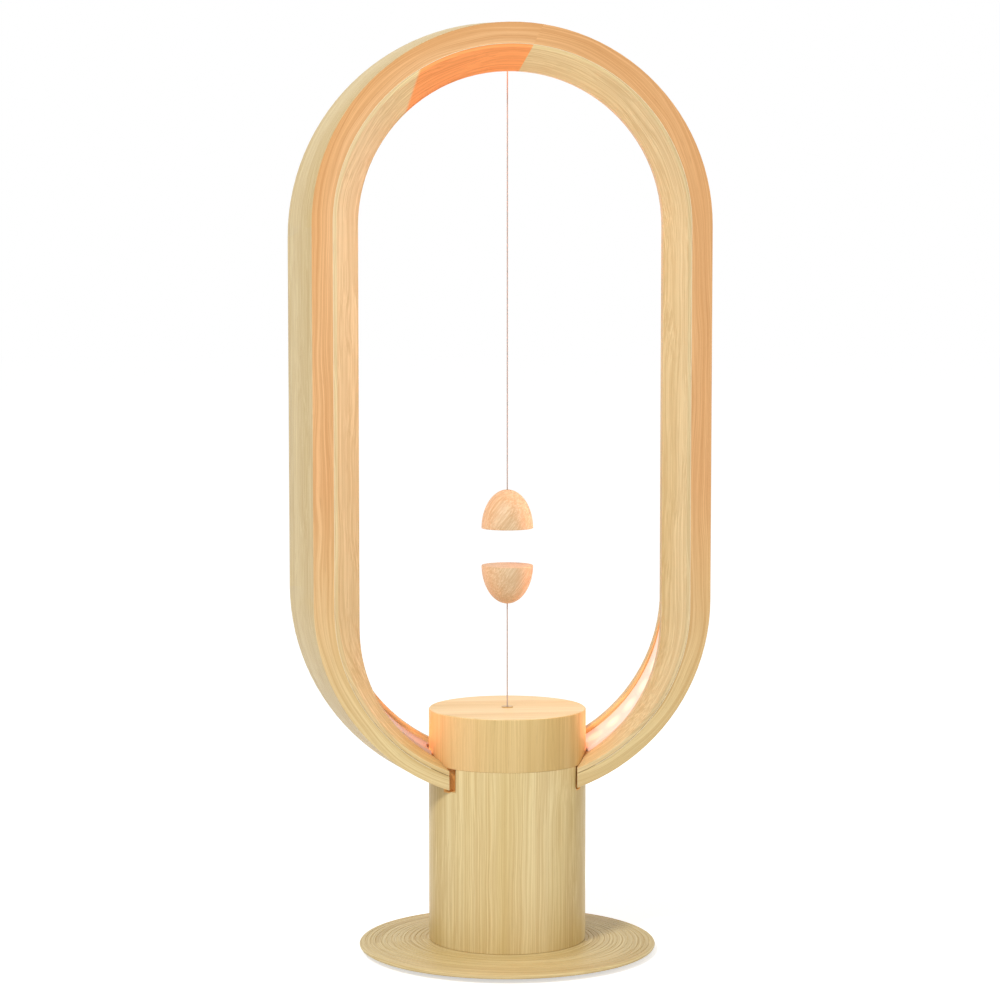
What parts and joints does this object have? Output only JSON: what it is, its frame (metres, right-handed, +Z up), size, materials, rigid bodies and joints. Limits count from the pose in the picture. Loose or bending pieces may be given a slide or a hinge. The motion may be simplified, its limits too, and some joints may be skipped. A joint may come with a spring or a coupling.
{
  "type": "magnetic balance lamp",
  "caption": "Table lamp with a light in a tall wooden hoop on a round post; two magnetic half eggs hang face to face on strings and switch it on.",
  "frame": {"origin": "centre of the base's underside, on the surface the lamp stands on", "axes": "+Z up through the post and both strings, -Y towards the front, +X to the right seen from the front"},
  "size_m": [0.181, 0.1256, 0.392],
  "materials": {
    "hoop_wood": "satin clear oil, grain along the hoop",
    "liner_wood": "satin clear oil, flat-sawn grain along the hoop",
    "post_wood": "satin clear oil, upright straight grain",
    "cap_wood": "satin clear oil, upright straight grain",
    "base_wood": "satin clear oil, fine turned rings",
    "egg_wood": "turned and smooth, satin clear oil",
    "lid_wood": "sanded flat, satin clear oil",
    "pad_rubber": "matt anti-slip sheet",
    "weight_steel": "sawn bar, zinc plated",
    "screw_steel": "zinc plated",
    "diffuser": "translucent opal silicone",
    "strip_film": "white flexible circuit film",
    "light_chip": "yellow phosphor in clear resin",
    "lead_sheath": "soft white sheath",
    "eyelet_brass": "plain turned",
    "string": "braided polyester line",
    "magnet_plating": "nickel plated",
    "plate_steel": "zinc plated sheet",
    "guide_plastic": "moulded white",
    "slider_plastic": "moulded white",
    "spring_steel": "bright wire",
    "switch_plastic": "moulded black",
    "plunger_plastic": "moulded red",
    "lever_steel": "thin spring strip",
    "pin_steel": "drawn wire",
    "board_laminate": "green solder mask",
    "standoff_brass": "plain turned",
    "part_plastic": "moulded black",
    "bezel_plastic": "moulded wood colour",
    "port_steel": "tinned",
    "tongue_plastic": "moulded black"
  },
  "bodies": {
    "lamp": {"base_disc": "base_wood", "base_pad": "pad_rubber", "base_weight": "weight_steel", "board_parts": "part_plastic", "board_screws": "screw_steel", "board_standoffs": "standoff_brass", "cap_grommet": "eyelet_brass", "circuit_board": "board_laminate", "hanging_knot": "string", "hoop_frame": "hoop_wood", "hoop_front_liner": "liner_wood", "lever_pin": "pin_steel", "light_chips": "light_chip", "light_diffuser": "diffuser", "light_strip": "strip_film", "port_bezel": "bezel_plastic", "port_shell": "port_steel", "port_tongue": "tongue_plastic", "post_body": "post_wood", "post_cap": "cap_wood", "return_spring": "spring_steel", "slider_guide": "guide_plastic", "strip_lead": "lead_sheath", "switch_case": "switch_plastic", "switch_plate": "plate_steel", "tie_screws": "screw_steel", "top_ferrule": "eyelet_brass"},
    "string_stub": {"string_stub": "string"},
    "upper_half": {"upper_string": "string", "upper_half_egg": "egg_wood", "upper_magnet": "magnet_plating", "upper_egg_lid": "lid_wood"},
    "slider": {"pull_slider": "slider_plastic"},
    "lower_half": {"lower_string": "string", "lower_half_egg": "egg_wood", "lower_magnet": "magnet_plating", "lower_egg_lid": "lid_wood"},
    "lever": {"switch_lever": "lever_steel"},
    "plunger": {"switch_plunger": "plunger_plastic"}
  },
  "joints": [
    {"name": "upper_swing_fore_aft", "type": "hinge", "parent": "lamp", "child": "string_stub", "pos_m": [0, 0, 0.37515], "axis": [1, 0, 0], "range_deg": [-57, 75]},
    {"name": "upper_swing_side", "type": "hinge", "parent": "string_stub", "child": "upper_half", "pos_m": [0, 0, 0.37205], "axis": [0, 1, 0], "range_deg": [-14, 14]},
    {"name": "string_pull", "type": "slide", "parent": "lamp", "child": "slider", "axis": [0, 0, 1], "range_m": [-0.003, 0], "stiffness_N_per_m": 50, "springref_m": -0.004, "deforming": ["return_spring"]},
    {"name": "lower_drop", "type": "slide", "parent": "slider", "child": "lower_half", "axis": [0, 0, 1], "range_m": [-0.04, 0], "deforming": ["lower_string"]},
    {"name": "lever_turn", "type": "hinge", "parent": "lamp", "child": "lever", "pos_m": [0, 0.015, 0.0898], "axis": [1, 0, 0], "range_deg": [0, 17]},
    {"name": "plunger_press", "type": "slide", "parent": "lamp", "child": "plunger", "axis": [0, 0, 1], "range_m": [-0.0013, 0]}
  ],
  "couplings": [
    {"joint": "lever_turn", "follows": "string_pull", "rad_per_m": -97},
    {"joint": "plunger_press", "follows": "string_pull", "ratio": 0.43}
  ]
}
